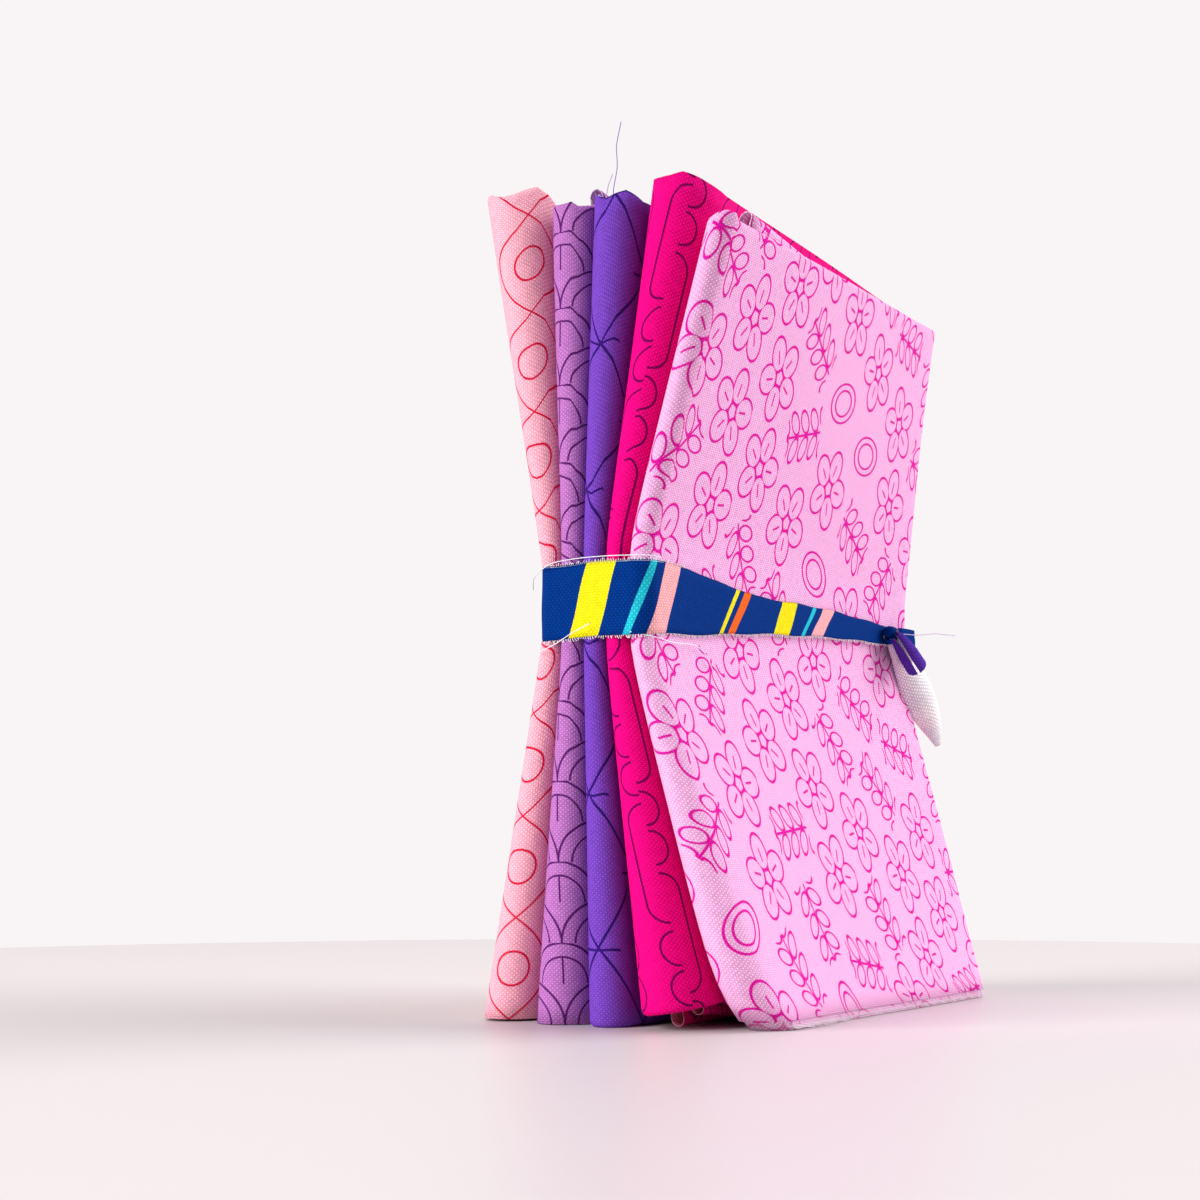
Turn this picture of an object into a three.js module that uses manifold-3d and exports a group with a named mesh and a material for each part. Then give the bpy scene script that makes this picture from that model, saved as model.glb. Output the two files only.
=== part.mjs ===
// Fat quarter bundle: five folded pieces of quilting cotton standing on end, drawn in at the waist
// by a narrow strip of cotton that is knotted at the far edge of the front face.
// Millimetres, +Z up. X runs from the rounded spines (-X) to the far edges (+X), and Y across the
// stack, with the front cloth at -Y. The origin is under the middle of the bundle.
import * as THREE from "three";
import { mergeVertices } from "three/addons/utils/BufferGeometryUtils.js";
import Module from "manifold-3d";

const wasm = await Module();
wasm.setup();

// Sizes of the whole bundle
const FAR_X = 52; // far edges of the cloths
const SPINE_FACE_X = -54; // where the rounded spines run into the flat faces
const WAIST_Z = 74; // middle of the tie
const WAIST_HALF = 6; // half the height over which the tie holds the stack straight
const WAIST_SOFTNESS = 5; // how gently the cloths spread out above and below the tie
const TOP_Z = 146; // height at which the face table's top column holds
const CLOTH_GAP = 0.35; // between neighbouring cloths

// Sizes of one folded cloth: four panels, each of four layers of cotton
const PANELS = 4;
const PANEL_AT_WAIST = 1.0; // thickness of a panel where the tie presses it
const PANEL_AT_END = 1.9; // thickness of a panel where it springs open at the top and foot
const PANEL_CLEARANCE = 0.15; // least air between two panels
const SPINE_ROUND = 0.62; // depth of the rounded spine as a share of the cloth's thickness
const INNER_SETBACK = 10; // from the spine to the raw ends of the two inner panels
const INNER_FADE = 40; // length over which the inner panels settle between the outer ones
const SPINE_DIP = 1.2; // dip in the top edge in the middle of the spine
const STRAIGHT_STEPS = 4; // points along a panel
const OUTER_FOLD_STEPS = 8; // points round the spine
const HAIRPIN_STEPS = 5; // points round a hairpin fold at the far edge

// Heights of the sections of a cloth, as shares of its own height
const SECTIONS = [0, 0.09, 0.22, 0.35, 0.44, 0.48, 0.54, 0.58, 0.68, 0.81, 0.92, 1];

// Faces between the cloths, from behind the stack to its front: y at the spine and at the far edge,
// each at the foot, at the waist and at the top
const FACES = [
  { spine: { foot: 28.7, waist: 12.8, top: 28.2 }, far: { foot: 21.5, waist: 12.6, top: 19.5 } },
  { spine: { foot: 16.3, waist: 7.8, top: 12.5 }, far: { foot: 11.8, waist: 7.6, top: 11.5 } },
  { spine: { foot: 1.9, waist: 2.8, top: 3.4 }, far: { foot: 2.0, waist: 2.7, top: 3.8 } },
  { spine: { foot: -6.2, waist: -2.2, top: -8.2 }, far: { foot: -8.0, waist: -2.2, top: -4.0 } },
  { spine: { foot: -23.6, waist: -7.2, top: -24.2 }, far: { foot: -18.2, waist: -7.1, top: -12.2 } },
  { spine: { foot: -34.6, waist: -12.3, top: -30.6 }, far: { foot: -28.4, waist: -12.0, top: -20.6 } },
];

// The cloths, from behind the stack to its front: the x of the rounded spine, the heights of the lower
// edge and of the upper edge at the spine and at the far edge, and how far the raw ends of the inner
// panels stand out above and below the outer ones
const CLOTHS = [
  {
    name: "coral_cloth",
    color: 0xf6a9ae,
    spine: { foot: -55.6, waist: -58.3, top: -56.8 },
    edges: { foot: 0, topAtSpine: 150.4, topAtFar: 146 },
    inner: { above: 0, below: 0 },
  },
  {
    name: "lavender_cloth",
    color: 0xa97cc0,
    spine: { foot: -58.4, waist: -59.2, top: -56.4 },
    edges: { foot: 0, topAtSpine: 146.2, topAtFar: 143 },
    inner: { above: 1.6, below: 0 },
  },
  {
    name: "violet_cloth",
    color: 0x6a3fb5,
    spine: { foot: -60, waist: -60, top: -58.6 },
    edges: { foot: 0, topAtSpine: 147.2, topAtFar: 144 },
    inner: { above: 0, below: 0 },
  },
  {
    name: "magenta_cloth",
    color: 0xe5178c,
    spine: { foot: -62, waist: -60.6, top: -60.2 },
    edges: { foot: 2.3, topAtSpine: 149.2, topAtFar: 144.5 },
    inner: { above: 0, below: 1.3 },
  },
  {
    name: "lilac_cloth",
    color: 0xf3a9de,
    spine: { foot: -61.7, waist: -61.2, top: -60.9 },
    edges: { foot: 0, topAtSpine: 141.6, topAtFar: 141.2 },
    inner: { above: 4, below: 0 },
  },
];

const { lerp, clamp } = THREE.MathUtils;

// Share of the way from the waist to the foot or the top that a height has reached, 0 to 1
function spread(z) {
  const soft = (d) => Math.hypot(d, WAIST_SOFTNESS) - WAIST_SOFTNESS;
  const past = Math.max(0, Math.abs(z - WAIST_Z) - WAIST_HALF);
  const reach = (z < WAIST_Z ? WAIST_Z : TOP_Z - WAIST_Z) - WAIST_HALF;
  return soft(past) / soft(reach);
}

// A foot, waist and top value at a height
function atHeight(row, z) {
  const end = z < WAIST_Z ? row.foot : row.top;
  return lerp(row.waist, end, spread(z));
}

// y of a face between two cloths
function faceY(face, x, z) {
  const along = (x - SPINE_FACE_X) / (FAR_X - SPINE_FACE_X);
  return lerp(atHeight(face.spine, z), atHeight(face.far, z), along);
}

// Half an ellipse of the middle line of a fold, from one panel's y to another's: it starts at x,
// bulges by depth, and leaves out its first point
function fold(x, depth, fromY, toY, steps) {
  const middle = (fromY + toY) / 2;
  const radius = (fromY - toY) / 2;
  return Array.from({ length: steps }, (_, i) => {
    const angle = (Math.PI * (i + 1)) / steps;
    return new THREE.Vector2(x + depth * Math.sin(angle), middle + radius * Math.cos(angle));
  });
}

// Middle line of a cloth's section at one height. Both raw ends are folded in to the middle and the
// cloth is then folded in half: front inner panel, hairpin at the far edge, front panel, spine, back
// panel, hairpin at the far edge, back inner panel
function sectionLine(index, z) {
  const back = (x) => faceY(FACES[index], x, z) - CLOTH_GAP / 2;
  const front = (x) => faceY(FACES[index + 1], x, z) + CLOTH_GAP / 2;
  const lane = (n, x) => lerp(front(x), back(x), (n + 0.5) / PANELS);
  const spineX = atHeight(CLOTHS[index].spine, z);
  const width = back(SPINE_FACE_X) - front(SPINE_FACE_X);
  const pitch = width / PANELS;
  const thickness = Math.min(lerp(PANEL_AT_WAIST, PANEL_AT_END, spread(z)), pitch - PANEL_CLEARANCE);
  const round = SPINE_ROUND * width;
  const outerX = spineX + round;
  const innerX = spineX + INNER_SETBACK;
  const hairpinX = FAR_X - pitch / 2;
  const panel = (n, fromX, toX) =>
    Array.from({ length: STRAIGHT_STEPS }, (_, i) => {
      const x = lerp(fromX, toX, (i + 1) / STRAIGHT_STEPS);
      return new THREE.Vector2(x, lane(n, x));
    });
  const hairpin = (from, to) =>
    fold(hairpinX, pitch / 2, lane(from, hairpinX), lane(to, hairpinX), HAIRPIN_STEPS);
  const line = [
    new THREE.Vector2(innerX, lane(1, innerX)),
    ...panel(1, innerX, hairpinX),
    ...hairpin(1, 0),
    ...panel(0, hairpinX, outerX),
    ...fold(outerX, thickness / 2 - round, lane(0, outerX), lane(3, outerX), OUTER_FOLD_STEPS),
    ...panel(3, outerX, hairpinX),
    ...hairpin(3, 2),
    ...panel(2, hairpinX, innerX),
  ];
  return { line, thickness, spineX, innerX, round };
}

// Both sides of a section line, half a thickness away from it
function sidesOf(line, thickness) {
  const last = line.length - 1;
  const offset = (side) =>
    line.map((point, i) => {
      const before = line[Math.max(0, i - 1)];
      const after = line[Math.min(last, i + 1)];
      const along = after.clone().sub(before).normalize();
      return new THREE.Vector2(-along.y, along.x).multiplyScalar((side * thickness) / 2).add(point);
    });
  return [offset(1), offset(-1)];
}

// A closed surface through rings of points that are all alike in number. The caps are quads
// between the two halves of the first ring and of the last
function loftedGeometry(rings) {
  const count = rings[0].length;
  const half = count / 2;
  const at = (ring, i) => ring * count + ((i + count) % count);
  const index = [];
  const quad = (a, b, c, d) => index.push(a, b, c, a, c, d);
  for (let r = 0; r + 1 < rings.length; r++) {
    for (let i = 0; i < count; i++) quad(at(r, i), at(r, i + 1), at(r + 1, i + 1), at(r + 1, i));
  }
  const top = rings.length - 1;
  for (let i = 0; i + 1 < half; i++) {
    const mirror = count - 1 - i;
    quad(at(0, i), at(0, mirror), at(0, mirror - 1), at(0, i + 1));
    quad(at(top, i), at(top, i + 1), at(top, mirror - 1), at(top, mirror));
  }
  const positions = new Float32Array(rings.flat().flatMap((p) => [p.x, p.y, p.z]));
  return new THREE.BufferGeometry()
    .setAttribute("position", new THREE.BufferAttribute(positions, 3))
    .setIndex(index);
}

// Heights of a cloth's lower and upper edge along its section: the upper edge is lower towards the far
// edge and dips in the middle of the spine, and the inner panels stand out at their raw ends
function edgeHeights(cloth, { line, spineX, innerX, round }) {
  const { foot, topAtSpine, topAtFar } = cloth.edges;
  return line.map(({ x }, i) => {
    const isInner = i <= STRAIGHT_STEPS || i >= line.length - STRAIGHT_STEPS;
    const standsOut = isInner ? clamp(1 - (x - innerX) / INNER_FADE, 0, 1) : 0;
    const along = clamp((x - spineX) / (FAR_X - spineX), 0, 1);
    const intoSpine = clamp(1 - (x - spineX) / (round / 2), 0, 1);
    const top = lerp(topAtSpine, topAtFar, along) - SPINE_DIP * intoSpine;
    return { low: foot - cloth.inner.below * standsOut, high: top + cloth.inner.above * standsOut };
  });
}

function clothGeometry(index) {
  const cloth = CLOTHS[index];
  const { foot, topAtSpine } = cloth.edges;
  const rings = SECTIONS.map((share) => {
    const section = sectionLine(index, lerp(foot, topAtSpine, share));
    const edges = edgeHeights(cloth, section);
    const [left, right] = sidesOf(section.line, section.thickness);
    const raise = (points) =>
      points.map((p, i) => new THREE.Vector3(p.x, p.y, lerp(edges[i].low, edges[i].high, share)));
    return [...raise(right), ...raise(left).reverse()];
  });
  return loftedGeometry(rings);
}

// Sizes of the tie: one strip, flat round the spines and the back, drawn together towards the knot
const TIE_THICKNESS = 1.0;
const TIE_SPINE_X = -62.4; // middle of the strip where it leaves the spines for the front
const TIE_SPINE_SLANT = 3; // how much less far out it is where it leaves them for the back
const TIE_FAR_X = 53.4; // middle of the strip where it crosses the far edges
const TIE_FRONT_Y = -13.15;
const TIE_BACK_Y = 13.6;
const TIE_CORNER = 3.2; // radius of the strip's bends
const TIE_CORNER_STEPS = 4;
const TIE_SIDE_STEPS = 8;
const KNOT = { x: 47.5, y: -15.4, z: 73.6, long: 4.6, deep: 2.4, tall: 4.2 }; // middle and half sizes
// Turns that show on the knot: how many to its half length, how they slant, and how far they stand out
const KNOT_RIDGES = { perLength: 1.5, slant: 0.5, height: 0.14 };
const KNOT_SEGMENTS = 14;

// Lower and upper edge of the strip at distances along x of the front face, from the spine to the knot
const TIE_FRONT = [
  { x: -63, low: 67.2, high: 80.2 },
  { x: -47, low: 68.0, high: 79.4 },
  { x: -39, low: 68.6, high: 78.3 },
  { x: -20, low: 70.2, high: 77.0 },
  { x: 11, low: 71.8, high: 77.2 },
  { x: 36, low: 72.4, high: 76.2 },
  { x: 54, low: 72.4, high: 75.8 },
];
// The same behind the stack, from the spine to the far edge, where it turns towards the knot
const TIE_BACK = [
  { x: -63, low: 67.0, high: 80.2 },
  { x: 0, low: 67.2, high: 80.3 },
  { x: 36, low: 68.4, high: 79.4 },
  { x: 54, low: 70.2, high: 77.8 },
];

// Free ends of the strip: the places each passes on its way from the knot, and its width there
const TIE_ENDS = [
  [
    { x: 48.0, y: -16.2, z: 74.4, width: 3.4 },
    { x: 50.5, y: -18.0, z: 73.0, width: 4.6 },
    { x: 53.0, y: -18.4, z: 70.6, width: 5.6 },
    { x: 54.6, y: -17.8, z: 67.6, width: 5.2 },
  ],
  [
    { x: 48.6, y: -15.6, z: 72.4, width: 3.2 },
    { x: 51.2, y: -16.6, z: 68.6, width: 4.8 },
    { x: 53.4, y: -17.4, z: 63.6, width: 6.0 },
    { x: 55.4, y: -17.0, z: 58.0, width: 5.6 },
    { x: 57.0, y: -16.2, z: 52.6, width: 3.6 },
  ],
];
const TIE_END_STEPS = 3; // sections from one place to the next

// Row of a table at x, between the rows on either side of it
function rowAt(table, x) {
  const next = clamp(table.findIndex((row) => row.x >= x), 1, table.length - 1);
  const [a, b] = [table[next - 1], table[next]];
  const share = clamp((x - a.x) / (b.x - a.x), 0, 1);
  return { low: lerp(a.low, b.low, share), high: lerp(a.high, b.high, share) };
}

// The strip's way round the waist: an outline with rounded corners, with its edges at each point
function tieRoute() {
  const outline = [];
  const corner = (x, y, from) => {
    for (let i = 0; i <= TIE_CORNER_STEPS; i++) {
      const angle = from + (Math.PI / 2) * (i / TIE_CORNER_STEPS);
      outline.push(new THREE.Vector2(x + TIE_CORNER * Math.cos(angle), y + TIE_CORNER * Math.sin(angle)));
    }
  };
  const side = (fromX, toX, y) => {
    for (let i = 1; i < TIE_SIDE_STEPS; i++) {
      outline.push(new THREE.Vector2(lerp(fromX, toX, i / TIE_SIDE_STEPS), y));
    }
  };
  const [low, high] = [TIE_SPINE_X + TIE_CORNER, TIE_FAR_X - TIE_CORNER];
  corner(low, TIE_FRONT_Y + TIE_CORNER, Math.PI);
  side(low, high, TIE_FRONT_Y);
  corner(high, TIE_FRONT_Y + TIE_CORNER, Math.PI * 1.5);
  corner(high, TIE_BACK_Y - TIE_CORNER, 0);
  side(high, low, TIE_BACK_Y);
  corner(low, TIE_BACK_Y - TIE_CORNER, Math.PI / 2);
  return outline.map((place) => {
    const share = clamp((place.y - TIE_FRONT_Y) / (TIE_BACK_Y - TIE_FRONT_Y), 0, 1);
    const slant = TIE_SPINE_SLANT * share * clamp((high - place.x) / (high - low), 0, 1);
    const point = new THREE.Vector2(place.x + slant, place.y);
    const front = rowAt(TIE_FRONT, point.x);
    const back = rowAt(TIE_BACK, point.x);
    return { point, low: lerp(front.low, back.low, share), high: lerp(front.high, back.high, share) };
  });
}

// The closed loop of the strip, four corners to a section
function tieLoopGeometry() {
  const route = tieRoute();
  const count = route.length;
  const positions = [];
  const index = [];
  route.forEach(({ point, low, high }, i) => {
    const before = route[(i + count - 1) % count].point;
    const after = route[(i + 1) % count].point;
    const along = after.clone().sub(before).normalize();
    const out = new THREE.Vector2(along.y, -along.x).multiplyScalar(TIE_THICKNESS / 2);
    const inner = point.clone().sub(out);
    const outer = point.clone().add(out);
    positions.push(inner.x, inner.y, low, outer.x, outer.y, low);
    positions.push(outer.x, outer.y, high, inner.x, inner.y, high);
    const here = 4 * i;
    const there = 4 * ((i + 1) % count);
    for (let edge = 0; edge < 4; edge++) {
      const next = (edge + 1) % 4;
      index.push(here + edge, there + edge, there + next, here + edge, there + next, here + next);
    }
  });
  return new THREE.BufferGeometry()
    .setAttribute("position", new THREE.BufferAttribute(new Float32Array(positions), 3))
    .setIndex(index);
}

// A free end: a flat ribbon along a smooth curve through its places, on edge to the face of the stack
function tieEndGeometry(places) {
  const curve = new THREE.CatmullRomCurve3(places.map(({ x, y, z }) => new THREE.Vector3(x, y, z)));
  const spans = places.length - 1;
  const rings = Array.from({ length: TIE_END_STEPS * spans + 1 }, (_, i) => {
    const share = i / (TIE_END_STEPS * spans);
    const middle = curve.getPoint(share);
    const along = curve.getTangent(share);
    const across = new THREE.Vector3(0, 1, 0).cross(along).normalize();
    const out = along.clone().cross(across).normalize().multiplyScalar(TIE_THICKNESS / 2);
    const span = Math.min(Math.floor(i / TIE_END_STEPS), spans - 1);
    const width = lerp(places[span].width, places[span + 1].width, i / TIE_END_STEPS - span);
    across.multiplyScalar(width / 2);
    const corner = (a, o) => middle.clone().addScaledVector(across, a).addScaledVector(out, o);
    return [corner(-1, -1), corner(1, -1), corner(1, 1), corner(-1, 1)];
  });
  return loftedGeometry(rings);
}

// The knot: a small rounded lump with the ridges of the turns that cross in it
function knotGeometry() {
  const { perLength, slant, height } = KNOT_RIDGES;
  const geometry = new THREE.SphereGeometry(1, KNOT_SEGMENTS, KNOT_SEGMENTS - 4);
  const position = geometry.getAttribute("position");
  const p = new THREE.Vector3();
  for (let i = 0; i < position.count; i++) {
    p.fromBufferAttribute(position, i);
    p.multiplyScalar(1 + height * Math.cos(2 * Math.PI * perLength * (p.x + slant * p.z)));
    position.setXYZ(i, KNOT.x + KNOT.long * p.x, KNOT.y + KNOT.deep * p.y, KNOT.z + KNOT.tall * p.z);
  }
  return geometry;
}

function solidOf(geometry) {
  const bare = geometry.clone().deleteAttribute("normal").deleteAttribute("uv");
  const merged = mergeVertices(bare, 1e-3);
  const vertProperties = merged.getAttribute("position").array;
  const triVerts = new Uint32Array(merged.index.array);
  return new wasm.Manifold(new wasm.Mesh({ numProp: 3, vertProperties, triVerts }));
}

function tieGeometry() {
  const pieces = [knotGeometry(), ...TIE_ENDS.map(tieEndGeometry)];
  const joined = pieces.reduce((whole, piece) => whole.add(solidOf(piece)), solidOf(tieLoopGeometry()));
  const mesh = joined.getMesh();
  return new THREE.BufferGeometry()
    .setAttribute("position", new THREE.BufferAttribute(mesh.vertProperties, 3))
    .setIndex(new THREE.BufferAttribute(mesh.triVerts, 1));
}

function cottonMesh(name, color, geometry) {
  const cotton = new THREE.MeshStandardMaterial({ color, roughness: 0.9, metalness: 0 });
  const mesh = new THREE.Mesh(geometry, cotton);
  mesh.name = name;
  return mesh;
}

const bundle = new THREE.Group();
CLOTHS.forEach(({ name, color }, index) => bundle.add(cottonMesh(name, color, clothGeometry(index))));
bundle.add(cottonMesh("tie_strip", 0x0f4aa0, tieGeometry()));

// The origin goes to the middle of the bundle's outline, on the surface it stands on
const box = new THREE.Box3().setFromObject(bundle);
const middle = box.getCenter(new THREE.Vector3());
bundle.children.forEach((mesh) => mesh.position.set(-middle.x, -middle.y, -box.min.z));

export default bundle;
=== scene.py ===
import math

import bpy
import numpy as np
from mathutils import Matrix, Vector


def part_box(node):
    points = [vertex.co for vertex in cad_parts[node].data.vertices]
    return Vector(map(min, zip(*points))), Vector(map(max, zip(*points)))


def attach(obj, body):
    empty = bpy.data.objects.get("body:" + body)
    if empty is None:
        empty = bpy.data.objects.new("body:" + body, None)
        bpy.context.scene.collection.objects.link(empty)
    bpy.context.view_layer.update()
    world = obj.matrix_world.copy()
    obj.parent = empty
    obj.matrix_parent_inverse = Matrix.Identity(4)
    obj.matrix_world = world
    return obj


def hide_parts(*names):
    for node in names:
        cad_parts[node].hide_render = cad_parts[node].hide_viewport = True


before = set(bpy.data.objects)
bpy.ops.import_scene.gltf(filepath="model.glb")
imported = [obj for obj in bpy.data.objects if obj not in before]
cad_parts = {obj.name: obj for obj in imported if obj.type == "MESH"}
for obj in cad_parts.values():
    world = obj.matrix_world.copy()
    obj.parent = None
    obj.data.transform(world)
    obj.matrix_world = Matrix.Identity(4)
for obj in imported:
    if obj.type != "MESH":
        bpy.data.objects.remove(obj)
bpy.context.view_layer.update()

# The view, the table and the light
# The bundle stands on a pale table a little below the lens, in front of a bright white studio wall.
# One soft light stands to the left of the lens and a broader one to the right of the bundle; the room
# behind the lens is dim.
MM = 0.001
LENS_LENGTH = 73.2
LENS_PLACE = (-424.0 * MM, -209.9 * MM, 31.4 * MM)
LENS_RISE = math.radians(5.7)
LENS_TURN = math.radians(-60)
scene = bpy.context.scene
scene.view_settings.view_transform = "Standard"
lens = bpy.data.cameras.new("studio_camera")
lens.sensor_width = 36.0
lens.lens = LENS_LENGTH
camera = bpy.data.objects.new("studio_camera", lens)
camera.location = LENS_PLACE
camera.rotation_euler = (math.radians(90) + LENS_RISE, 0.0, LENS_TURN)
scene.collection.objects.link(camera)
scene.camera = camera

WALL_TONE = (0.947, 0.913, 0.921, 1)
WALL_DIRECTION = (0.866, 0.5, 0.0)
WALL_FROM = 0.60
ROOM_TONE = (0.17, 0.16, 0.165, 1)
ROOM_TO = 0.10
TABLE_TONE = (0.64, 0.592, 0.597, 1)
TABLE_RADIUS = 345 * MM
TABLE_SIDES = 96
TABLE_ROUGHNESS = 0.42
LIGHT_AIM = (0, 0, 0.08)

studio = bpy.data.worlds.new("studio")
studio.use_nodes = True
air = studio.node_tree
looking = air.nodes.new("ShaderNodeTexCoord")
to_wall = air.nodes.new("ShaderNodeVectorMath")
to_wall.operation = "DOT_PRODUCT"
to_wall.inputs[1].default_value = WALL_DIRECTION
air.links.new(looking.outputs["Generated"], to_wall.inputs[0])
tones = air.nodes.new("ShaderNodeValToRGB")
tones.color_ramp.elements[0].position = ROOM_TO
tones.color_ramp.elements[0].color = ROOM_TONE
tones.color_ramp.elements[1].position = WALL_FROM
tones.color_ramp.elements[1].color = WALL_TONE
air.links.new(to_wall.outputs["Value"], tones.inputs["Fac"])
air.links.new(tones.outputs["Color"], air.nodes["Background"].inputs["Color"])
scene.world = studio


def soft_light(name, place, size, watts):
    """A square soft light at a place, turned to the middle of the bundle."""
    light = bpy.data.lights.new(name, "AREA")
    light.size = size
    light.energy = watts
    lamp = bpy.data.objects.new(name, light)
    lamp.location = place
    away = Vector(place) - Vector(LIGHT_AIM)
    lamp.rotation_euler = away.to_track_quat("Z", "Y").to_euler()
    scene.collection.objects.link(lamp)


soft_light("left_soft_light", place=(-1.45, 0.70, 0.72), size=1.10, watts=38.0)
soft_light("right_soft_light", place=(1.05, -1.30, 1.00), size=2.00, watts=56.0)

table_mesh = bpy.data.meshes.new("table")
rim = [2 * math.pi * k / TABLE_SIDES for k in range(TABLE_SIDES)]
table_mesh.from_pydata(
    [(TABLE_RADIUS * math.cos(a), TABLE_RADIUS * math.sin(a), 0.0) for a in rim],
    [],
    [tuple(range(TABLE_SIDES))],
)
table = bpy.data.objects.new("table", table_mesh)
scene.collection.objects.link(table)
table_paint = bpy.data.materials.new("table_paint")
table_paint.use_nodes = True
paint = table_paint.node_tree.nodes["Principled BSDF"]
paint.inputs["Base Color"].default_value = TABLE_TONE
paint.inputs["Roughness"].default_value = TABLE_ROUGHNESS
table_mesh.materials.append(table_paint)

# The coral cloth, at the back of the stack
# A fat quarter of plain-weave quilting cotton: folded in four along its length, both ends folded in to
# the middle, then folded in half, so that it stands on end with one rounded spine.
COTTON = 0.17  # thickness of the sheet; this and the sizes below are in mm
FAR_X = 52.0
FAR_FLARE = (2.6, 0.3, 1.4)  # how much further the far edges stand out at the foot, waist and top
SPINE_FACE_X = -54.0
WAIST_Z = 74.0
WAIST_HALF = 6.0
WAIST_SOFTNESS = 5.0
TOP_Z = 146.0
CLOTH_GAP = 0.35
PANELS = 4
PANEL_AT_WAIST = 1.0
PANEL_AT_END = 1.9
PANEL_CLEARANCE = 0.1
SPINE_ROUND = 0.62  # depth of the spine's curve as a share of the cloth's width
INNER_SETBACK = 10.0  # how far the inner panels start behind the spine
INNER_FADE = 40.0
TUCK_HEIGHT = 5.5
# Slow waves of the faces: radians for each mm along x and z, and from face to face
LONG_WAVE = (0.055, 0.021, 1.9)
CROSS_WAVE = (-0.041, 0.034, 2.7)
CROSS_WAVE_SHARE = 0.7
WAVE_DEPTH = 0.32
FAR_EDGE_WAVE = 0.11
FAR_EDGE_DEPTH = 0.4
# Faces between the cloths from the back of the stack to its front: y at the spine (foot, waist, top)
# and at the far edge (foot, waist, top)
FACES = (
    ((28.7, 12.8, 28.2), (21.5, 12.6, 19.5)),
    ((16.3, 7.8, 12.5), (11.8, 7.6, 11.5)),
    ((1.9, 2.7, 3.4), (2.0, 2.7, 3.8)),
    ((-6.2, -2.1, -8.2), (-8.0, -2.2, -4.0)),
    ((-23.6, -7.2, -24.2), (-18.2, -7.1, -12.2)),
    ((-34.6, -12.3, -30.6), (-28.4, -12.0, -20.6)),
)
TIE_PINCH = 1.3  # how far the tie digs into the back of the stack
PINCH_HEIGHT = 8.0
LILAC_SPINE_FOOT = -61.7
TIE_BACK_FACE = 14.1
lilac_low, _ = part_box("lilac_cloth")
_, tie_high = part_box("tie_strip")
# From the middle of the stack to the frame of the part
SHIFT = (lilac_low.x / MM - LILAC_SPINE_FOOT, tie_high.y / MM - TIE_BACK_FACE)


def mix(a, b, share):
    """A value a share of the way from one value to another."""
    return a + (b - a) * share


def ease(share):
    """A share from 0 to 1 that starts and ends gently."""
    share = np.clip(share, 0, 1)
    return share * share * (3 - 2 * share)


def softened(distance):
    """A distance from the waist with a soft start."""
    return np.hypot(distance, WAIST_SOFTNESS) - WAIST_SOFTNESS


def spread(z):
    """How far a height is from the waist towards the foot or the top, 0 to 1."""
    past = np.maximum(0, np.abs(z - WAIST_Z) - WAIST_HALF)
    reach = np.where(z < WAIST_Z, WAIST_Z, TOP_Z - WAIST_Z) - WAIST_HALF
    return softened(past) / softened(reach)


def at_height(row, z):
    """A measure at heights z, from its values at the foot, the waist and the top."""
    foot, waist, top = row
    return mix(waist, np.where(z < WAIST_Z, foot, top), spread(z))


def face_y(number, x, z):
    """y of a face between two cloths, with the slow waves of cloth that isn't pressed flat."""
    spine, far = FACES[number]
    along = (x - SPINE_FACE_X) / (FAR_X - SPINE_FACE_X)
    per_x, per_z, per_face = LONG_WAVE
    wave = np.sin(per_x * x + per_face * number + per_z * z)
    per_x, per_z, per_face = CROSS_WAVE
    wave = wave + CROSS_WAVE_SHARE * np.sin(per_z * z + per_x * x + per_face * number)
    pinch = 0
    if number == 0:
        pinch = TIE_PINCH * np.exp(-(((z - WAIST_Z) / PINCH_HEIGHT) ** 2))
    return mix(at_height(spine, z), at_height(far, z), along) + WAVE_DEPTH * wave * spread(z) - pinch


def section_points(number, segment, t, spine, z):
    """x and y of the middle line of a cloth's fold, on one segment of its way, at heights z, and the
    thickness of its panel."""

    def back(x):
        return face_y(number, x, z) - CLOTH_GAP / 2

    def front(x):
        return face_y(number + 1, x, z) + CLOTH_GAP / 2

    def lane(n, x):
        return mix(front(x), back(x), (n + 0.5) / PANELS)

    spine_x = at_height(spine[:3], z) + spine[3] * np.exp(-z / TUCK_HEIGHT)
    width = back(SPINE_FACE_X) - front(SPINE_FACE_X)
    pitch = width / PANELS
    thickness = np.minimum(mix(PANEL_AT_WAIST, PANEL_AT_END, spread(z)), pitch - PANEL_CLEARANCE)
    round_depth = SPINE_ROUND * width
    outer_x = spine_x + round_depth
    inner_x = spine_x + INNER_SETBACK
    far_wave = FAR_EDGE_DEPTH * np.sin(FAR_EDGE_WAVE * z + number)
    hairpin_x = FAR_X + at_height(FAR_FLARE, z) - pitch / 2 + far_wave
    ends = {
        "front inner": (1, inner_x, hairpin_x),
        "front": (0, hairpin_x, outer_x),
        "back": (3, outer_x, hairpin_x),
        "back inner": (2, hairpin_x, inner_x),
    }
    if segment in ends:
        n, from_x, to_x = ends[segment]
        x = mix(from_x, to_x, t)
        return x, lane(n, x), thickness
    turns = {
        "front hairpin": (1, 0, hairpin_x, pitch / 2),
        "spine": (0, 3, outer_x, thickness / 2 - round_depth),
        "back hairpin": (3, 2, hairpin_x, pitch / 2),
    }
    n, m, x, depth = turns[segment]
    from_y = lane(n, x)
    to_y = lane(m, x)
    angle = math.pi * t
    return (
        x + depth * np.sin(angle),
        (from_y + to_y) / 2 + (from_y - to_y) / 2 * np.cos(angle),
        thickness,
    )


# Segments of a cloth's way round its fold, with the steps along each
SEGMENTS = (
    ("front inner", 22),
    ("front hairpin", 8),
    ("front", 30),
    ("spine", 30),
    ("back", 26),
    ("back hairpin", 8),
    ("back inner", 22),
)
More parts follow.
